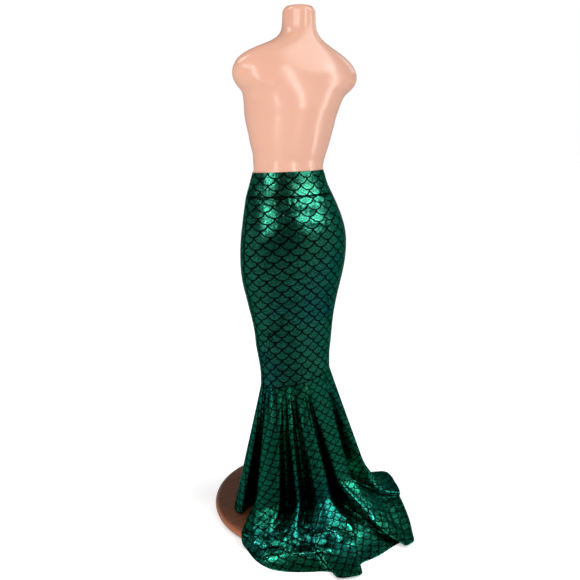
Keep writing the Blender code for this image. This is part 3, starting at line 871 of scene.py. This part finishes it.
# ---- materials ----
class Graph:
    """The node tree of a material or world, with short calls for the nodes it needs."""

    def __init__(self, owner):
        self.owner = owner
        self.owner.use_nodes = True
        self.tree = owner.node_tree

    def put(self, socket, value):
        if isinstance(value, bpy.types.NodeSocket):
            self.tree.links.new(value, socket)
        elif socket.type == "RGBA":
            socket.default_value = (*value, 1.0)
        else:
            socket.default_value = value

    def surface(self, **values):
        shader = self.tree.nodes["Principled BSDF"]
        for name, value in values.items():
            self.put(shader.inputs[name.replace("_", " ")], value)
        return self.owner

    def node(self, kind, **settings):
        made = self.tree.nodes.new(kind)
        for name, value in settings.items():
            setattr(made, name, value)
        return made

    def math(self, operation, *values):
        made = self.node("ShaderNodeMath", operation=operation)
        for socket, value in zip(made.inputs, values):
            self.put(socket, value)
        return made.outputs[0]

    def step(self, value, low, high, below=0.0, above=1.0):
        """One result below low, another above high and smooth between."""
        made = self.node("ShaderNodeMapRange", interpolation_type="SMOOTHSTEP")
        self.put(made.inputs["Value"], value)
        self.put(made.inputs["From Min"], low)
        self.put(made.inputs["From Max"], high)
        self.put(made.inputs["To Min"], below)
        self.put(made.inputs["To Max"], above)
        return made.outputs["Result"]

    def mix(self, share, first, second):
        made = self.node("ShaderNodeMix", data_type="RGBA")
        self.put(made.inputs[0], share)
        self.put(made.inputs[6], first)
        self.put(made.inputs[7], second)
        return made.outputs[2]

    def attribute(self, name):
        vector = self.node("ShaderNodeAttribute", attribute_name=name).outputs["Vector"]
        parts = self.node("ShaderNodeSeparateXYZ")
        self.put(parts.inputs[0], vector)
        return vector, parts.outputs["X"], parts.outputs["Y"], parts.outputs["Z"]

    def place(self):
        return self.node("ShaderNodeTexCoord").outputs["Object"]

    def stretched(self, vector, scale):
        made = self.node("ShaderNodeMapping")
        self.put(made.inputs["Vector"], vector)
        self.put(made.inputs["Scale"], scale)
        return made.outputs["Vector"]

    def noise(self, vector, scale, detail=3.0, roughness=0.5):
        made = self.node("ShaderNodeTexNoise")
        self.put(made.inputs["Vector"], vector)
        self.put(made.inputs["Scale"], scale)
        self.put(made.inputs["Detail"], detail)
        self.put(made.inputs["Roughness"], roughness)
        return made.outputs[0]

    def bump(self, height, distance, normal=None):
        made = self.node("ShaderNodeBump")
        self.put(made.inputs["Height"], height)
        self.put(made.inputs["Distance"], distance)
        self.put(made.inputs["Strength"], 1.0)
        if normal is not None:
            self.put(made.inputs["Normal"], normal)
        return made.outputs["Normal"]


def scale_edge(graph, u, v, row):
    """Signed distance from the round edge of a row's nearest scale, and its column."""
    radius = ((SCALE_WIDTH / 2) ** 2 + SCALE_DROP**2) / (2 * SCALE_DROP)
    half_step = graph.math("MULTIPLY", row, 0.5)
    across = graph.math("ADD", graph.math("DIVIDE", u, SCALE_WIDTH), half_step)
    column = graph.math("FLOOR", across)
    x = graph.math("SUBTRACT", graph.math("SUBTRACT", across, column), 0.5)
    x = graph.math("MULTIPLY", x, SCALE_WIDTH)
    centre = graph.math("ADD", graph.math("MULTIPLY", row, SCALE_DROP), SCALE_DROP - radius)
    y = graph.math("SUBTRACT", v, centre)
    squares = graph.math("ADD", graph.math("MULTIPLY", x, x), graph.math("MULTIPLY", y, y))
    return graph.math("SUBTRACT", graph.math("SQRT", squares), radius), column


def scale_print(graph, cloth, u, v):
    """Where foil shows between the printed outlines, and a number for each scale."""
    row = graph.math("FLOOR", graph.math("DIVIDE", v, SCALE_DROP))
    edge, column = scale_edge(graph, u, v, row)
    edge_above, column_above = scale_edge(graph, u, v, graph.math("SUBTRACT", row, 1.0))
    off_edge = graph.math("ABSOLUTE", edge)
    nearest = graph.math("MINIMUM", off_edge, graph.math("ABSOLUTE", edge_above))
    wobble = graph.math("SUBTRACT", graph.noise(cloth, *INK_NOISE), 0.5)
    nearest = graph.math("ADD", nearest, graph.math("MULTIPLY", wobble, INK_WOBBLE))
    foil = graph.step(nearest, OUTLINE * INK_FADE[0], OUTLINE * INK_FADE[1])

    inside = graph.math("LESS_THAN", edge, 0.0)
    outside = graph.math("SUBTRACT", 1.0, inside)
    own_row = graph.math("SUBTRACT", graph.math("ADD", row, 1.0), inside)
    from_above = graph.math("MULTIPLY", column_above, outside)
    own_column = graph.math("ADD", graph.math("MULTIPLY", column, inside), from_above)
    pair = graph.node("ShaderNodeCombineXYZ")
    graph.put(pair.inputs[0], own_row)
    graph.put(pair.inputs[1], own_column)
    each = graph.node("ShaderNodeTexWhiteNoise", noise_dimensions="3D")
    graph.put(each.inputs["Vector"], pair.outputs[0])
    return foil, each.outputs["Value"]


def wrinkle_painted_light(graph, lift, glints, flared):
    """Painted shade in a wrinkle's hollow and, on the flare, a painted highlight on its
    ridge, both set by the wrinkle's height whatever the light."""
    hollow = graph.step(graph.math("MULTIPLY", lift, -1.0), *LIFT_RANGE)
    painted_shade = graph.math("SUBTRACT", 1.0, graph.math("MULTIPLY", hollow, PAINTED_HOLLOW_SHADE))
    if not flared:
        return painted_shade
    ridge = graph.step(lift, *LIFT_RANGE)
    highlight_gain = graph.math("ADD", PAINTED_RIDGE_HIGHLIGHT, graph.math("MULTIPLY", glints, PAINTED_RIDGE_GLINTS))
    painted_highlight = graph.math("ADD", 1.0, graph.math("MULTIPLY", ridge, highlight_gain))
    return graph.math("MULTIPLY", painted_shade, painted_highlight)


def foil_colour(graph, cloth, place, each, lift, flared):
    """Green foil with specks and painted glints, a touch lighter or darker at each scale."""
    first, second = FLARE_GREENS if flared else PENCIL_GREENS
    patches = graph.step(graph.noise(place, *PATCH_NOISE), *PATCH_RANGE)
    colour = graph.mix(patches, first, second)
    # painted glints: brighter teal and lime flecks mixed into the foil's colour
    glints = graph.step(graph.noise(cloth, *GLINT_NOISE), *GLINT_RANGE)
    lime = graph.step(graph.noise(place, *LIME_NOISE), *LIME_RANGE)
    glint = graph.mix(lime, PAINTED_GLINT_TEAL, PAINTED_GLINT_LIME)
    colour = graph.mix(graph.math("MULTIPLY", glints, GLINT_SHARE), colour, glint)
    speck = graph.step(graph.noise(cloth, *SPECK_NOISE), *SPECK_RANGE)
    own = graph.math("MULTIPLY", each, SCALE_SHADE)
    shade = graph.math("ADD", graph.math("MULTIPLY", speck, SPECK_SHADE), own)
    shade = graph.math("ADD", shade, LEAST_SHADE)
    # the wrinkles' painted shade and painted highlights scale the foil's brightness
    shade = graph.math("MULTIPLY", shade, wrinkle_painted_light(graph, lift, glints, flared))
    lit = graph.node("ShaderNodeVectorMath", operation="SCALE")
    graph.put(lit.inputs[0], colour)
    graph.put(lit.inputs["Scale"], shade)
    return lit.outputs["Vector"]


def foil_normal(graph, cloth, place, foil, seam, flared):
    normal = graph.bump(graph.noise(place, *RUMPLE_NOISE), RUMPLE_DEPTH)
    if flared:
        normal = graph.bump(crumple_height(graph, place), CRUMPLE_DEPTH, normal)
    normal = graph.bump(graph.noise(cloth, *CRINKLE_NOISE), CRINKLE_DEPTH, normal)
    normal = graph.bump(graph.noise(cloth, *KNIT_NOISE), KNIT_DEPTH, normal)
    normal = graph.bump(foil, PRINT_DEPTH, normal)
    return graph.bump(seam, SEAM_DEPTH, normal)


def foil_cloth(name, flared):
    """Stretch cloth with a green foil print of scales outlined in black ink."""
    graph = Graph(bpy.data.materials.new(name))
    cloth, u, v, lift = graph.attribute("cloth")
    _, along, from_edge, from_side = graph.attribute("sew")
    place = graph.place()
    foil, each = scale_print(graph, cloth, u, v)
    bright = foil_colour(graph, cloth, place, each, lift, flared)
    from_seam = from_side if flared else graph.math("MINIMUM", from_edge, from_side)
    # painted shade along the seams: near a seam the colour turns to ink
    shown = graph.math("MULTIPLY", foil, graph.step(from_seam, *PAINTED_SEAM_SHADE))
    seam = seam_height(graph, along, from_edge, from_side, flared)
    drift = graph.math("MULTIPLY", graph.noise(place, *SHEEN_NOISE), ROUGHNESS_DRIFT)
    return graph.surface(
        Base_Color=graph.mix(shown, INK_AND_PAINTED_SEAM_SHADE, bright),
        Metallic=1.0,
        Specular_Tint=FOIL_TINT,
        Roughness=graph.math("ADD", drift, FOIL_ROUGHNESS),
        Normal=foil_normal(graph, cloth, place, foil, seam, flared),
    )


def crumple_height(graph, place):
    """Sharp creases where the flare lands on the base, above the flat hem."""
    parts = graph.node("ShaderNodeSeparateXYZ")
    graph.put(parts.inputs[0], place)
    raised = graph.step(parts.outputs["Z"], *CRUMPLE_COMES)
    low = graph.math("SUBTRACT", 1.0, graph.step(parts.outputs["Z"], *CRUMPLE_GOES))
    uneven = graph.math("SUBTRACT", graph.noise(place, *CRUMPLE_NOISE), 0.5)
    off_middle = graph.math("ABSOLUTE", uneven)
    return graph.math("MULTIPLY", off_middle, graph.math("MULTIPLY", raised, low))


def seam_height(graph, along, from_edge, from_side, hemmed):
    """Height of the groove at a seam, or of a row of stitches beside the hem."""
    from_seam = graph.math("MINIMUM", from_edge, from_side)
    groove = graph.step(from_seam, 0.0, GROOVE_WIDTH)
    if not hemmed:
        return groove
    off_line = graph.math("ABSOLUTE", graph.math("SUBTRACT", from_edge, HEM_STITCH))
    line = graph.math("SUBTRACT", 1.0, graph.step(off_line, *STITCH_THREAD))
    wave = graph.math("SINE", graph.math("MULTIPLY", along, math.pi / STITCH_LENGTH))
    dash = graph.step(graph.math("ABSOLUTE", wave), *STITCH_DASH)
    stitch = graph.math("MULTIPLY", graph.math("MULTIPLY", line, dash), STITCH_DEPTH)
    return graph.math("SUBTRACT", groove, stitch)


def peach_plastic():
    graph = Graph(bpy.data.materials.new("peach_plastic"))
    place = graph.place()
    mottle = graph.noise(place, 9.0, 4.0)
    fine = graph.noise(place, 260.0, 2.0)
    colour = graph.mix(mottle, PEACH_DARK, PEACH_PALE)
    return graph.surface(
        Base_Color=colour,
        Roughness=graph.math("ADD", graph.math("MULTIPLY", mottle, 0.05), 0.21),
        Normal=graph.bump(fine, 0.00004),
        Specular_IOR_Level=0.34,
        Subsurface_Weight=0.06,
        Subsurface_Scale=0.01,
    )


def varnished_wood():
    graph = Graph(bpy.data.materials.new("varnished_wood"))
    place = graph.place()
    along_grain = graph.stretched(place, GRAIN_STRETCH)
    grain = graph.noise(along_grain, 1.0, 6.0, 0.6)
    pores = graph.noise(along_grain, 6.0, 3.0, 0.6)
    colour = graph.mix(graph.step(grain, 0.30, 0.70), WOOD_DARK, WOOD_PALE)
    colour = graph.mix(graph.step(pores, 0.60, 0.72), colour, WOOD_PORE)
    from_axis = graph.node("ShaderNodeVectorMath", operation="LENGTH")
    flat = graph.node("ShaderNodeVectorMath", operation="MULTIPLY")
    graph.put(flat.inputs[0], place)
    graph.put(flat.inputs[1], (1.0, 1.0, 0.0))
    graph.put(from_axis.inputs[0], flat.outputs["Vector"])
    # painted highlight: the base's rounded edge is coloured paler
    rounded = graph.step(from_axis.outputs["Value"], BASE_RADIUS - EDGE_HIGHLIGHT_WIDTH, BASE_RADIUS)
    colour = graph.mix(rounded, colour, WOOD_EDGE_HIGHLIGHT)
    return graph.surface(
        Base_Color=colour,
        Roughness=graph.math("ADD", graph.math("MULTIPLY", grain, 0.15), 0.28),
        Normal=graph.bump(pores, 0.0002),
        Coat_Weight=0.4,
        Coat_Roughness=0.10,
    )


def brushed_metal():
    graph = Graph(bpy.data.materials.new("brushed_metal"))
    lines = graph.noise(graph.stretched(graph.place(), BRUSH_STRETCH), 1.0, 3.0)
    return graph.surface(
        Base_Color=graph.mix(lines, METAL_DARK, METAL_PALE),
        Metallic=1.0,
        Roughness=graph.math("ADD", graph.math("MULTIPLY", lines, 0.2), 0.2),
        Normal=graph.bump(lines, 0.0001),
    )


def pale_floor():
    graph = Graph(bpy.data.materials.new("pale_floor"))
    spots = graph.noise(graph.place(), 0.8, 2.0)
    return graph.surface(
        Base_Color=graph.mix(spots, (0.93, 0.93, 0.93), (0.95, 0.95, 0.95)),
        Roughness=0.7,
        Emission_Color=(1.0, 1.0, 1.0),
        Emission_Strength=FLOOR_GLOW,
    )


# ---- stage ----
def build_stage():
    angles = np.radians(np.arange(FLOOR_SIDES) * 360.0 / FLOOR_SIDES)
    circle = np.stack([np.cos(angles), np.sin(angles), np.zeros(FLOOR_SIDES)], axis=-1)
    points = circle * FLOOR_RADIUS
    mesh = bpy.data.meshes.new("floor")
    mesh.from_pydata(points.tolist(), [], [list(range(FLOOR_SIDES))])
    mesh.materials.append(pale_floor())
    floor = bpy.data.objects.new("floor", mesh)
    floor.visible_glossy = False
    bpy.context.scene.collection.objects.link(floor)


def build_world():
    graph = Graph(bpy.data.worlds.new("studio"))
    room = graph.tree.nodes["Background"]
    towards = graph.node("ShaderNodeTexCoord").outputs["Generated"]
    azimuth = math.radians(DARK_SIDE_DEG)
    facing = graph.node("ShaderNodeVectorMath", operation="DOT_PRODUCT")
    graph.put(facing.inputs[0], towards)
    graph.put(facing.inputs[1], (math.cos(azimuth), math.sin(azimuth), 0.0))
    parts = graph.node("ShaderNodeSeparateXYZ")
    graph.put(parts.inputs[0], towards)
    height = parts.outputs["Z"]
    walls = graph.step(facing.outputs["Value"], *DARK_RANGE, ROOM_PALE, ROOM_DARK)
    above = graph.step(height, *ABOVE_RANGE, 1.0, ROOM_ABOVE)
    below = graph.step(height, *BELOW_RANGE, ROOM_BELOW, 0.0)
    strength = graph.math("MAXIMUM", graph.math("MULTIPLY", walls, above), below)
    graph.put(room.inputs["Strength"], strength)

    # The camera sees plain white in place of the room.
    white = graph.node("ShaderNodeBackground")
    either = graph.node("ShaderNodeMixShader")
    graph.put(either.inputs[0], graph.node("ShaderNodeLightPath").outputs["Is Camera Ray"])
    graph.put(either.inputs[1], room.outputs[0])
    graph.put(either.inputs[2], white.outputs[0])
    graph.put(graph.tree.nodes["World Output"].inputs["Surface"], either.outputs[0])
    for background in (room, white):
        graph.put(background.inputs["Color"], (1.0, 1.0, 1.0))
    bpy.context.scene.world = graph.owner


def direction(azimuth_deg, elevation_deg):
    azimuth = math.radians(azimuth_deg)
    elevation = math.radians(elevation_deg)
    flat = math.cos(elevation)
    return Vector((math.cos(azimuth) * flat, math.sin(azimuth) * flat, math.sin(elevation)))


def aim(item, place, towards):
    item.location = place
    item.rotation_euler = (-towards).to_track_quat("-Z", "Y").to_euler()
    item.visible_camera = False
    bpy.context.scene.collection.objects.link(item)


def area_light(name, width, height, watts):
    lamp = bpy.data.lights.new(name, "AREA")
    lamp.shape = "RECTANGLE"
    lamp.size = width
    lamp.size_y = height
    lamp.energy = watts
    return bpy.data.objects.new(name, lamp)


def build_lights():
    target = Vector(LIGHT_TARGET)
    for row in FAR_LIGHTS:
        towards = direction(row.azimuth, row.elevation)
        lamp = bpy.data.lights.new(row.name, "SUN")
        lamp.angle = math.radians(row.spread_deg)
        lamp.energy = row.strength
        item = bpy.data.objects.new(row.name, lamp)
        item.visible_glossy = row.in_gloss
        aim(item, target + towards * FAR_DISTANCE, towards)
    for row in SOFTBOXES:
        towards = direction(row.azimuth, row.elevation)
        item = area_light(row.name, row.width, row.height, row.watts)
        item.visible_glossy = row.in_gloss
        aim(item, target + towards * row.distance, towards)


def build_strips(form):
    """Lights for the streaks on the form. They light its gloss and nothing else."""
    receivers = bpy.data.collections.new("glossy_form")
    receivers.objects.link(form)
    middle = Vector((0.0, 0.0, STRIP_HEIGHT / 2))
    for row in STRIPS:
        towards = direction(row.azimuth, 0.0)
        item = area_light(row.name, row.width, STRIP_HEIGHT, row.watts)
        item.visible_diffuse = False
        item.light_linking.receiver_collection = receivers
        aim(item, middle + towards * STRIP_DISTANCE, towards)


def build_camera():
    azimuth = math.radians(CAMERA_AZIMUTH)
    lens = bpy.data.cameras.new("camera")
    lens.sensor_width = SENSOR_MM
    lens.lens = FOCAL_PX / IMAGE_PX * SENSOR_MM
    lens.shift_x = AXIS_SHIFT_PX / IMAGE_PX
    camera = bpy.data.objects.new("camera", lens)
    camera.location = (
        CAMERA_DISTANCE * math.sin(azimuth), -CAMERA_DISTANCE * math.cos(azimuth), CAMERA_HEIGHT,
    )
    camera.rotation_euler = (math.radians(90.0 - CAMERA_PITCH), 0.0, azimuth)
    bpy.context.scene.collection.objects.link(camera)
    bpy.context.scene.camera = camera


# ---- the whole scene ----
CUTS = {
    "waistband": Cut(0.529, 0.060, 0.0292, "stretched", "form_torso"),
    "pencil_front": Cut(0.348, 0.485, 0.1477, "stretched", "form_torso"),
    "pencil_back": Cut(0.347, 0.485, 0.1467, "stretched", "form_torso"),
    "flare_front": Cut(0.922, 0.487, 0.288, "hung", "form_base"),
    "flare_back": Cut(1.242, 0.640, 0.514, "draped", "form_base"),
}

build_camera()
build_lights()
build_world()
build_stage()
bpy.context.scene.view_settings.view_transform = "Standard"

foils = {node: foil_cloth(f"{node}_foil", node.startswith("flare")) for node in CUTS}
build_waistband(foils["waistband"])
build_pencil("pencil_back", 0.0, foils["pencil_back"])
build_pencil("pencil_front", 180.0, foils["pencil_front"])
build_flare(foils)
build_strips(build_torso(peach_plastic()))
build_base(varnished_wood())
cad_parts["form_pole"].data.materials[0] = brushed_metal()
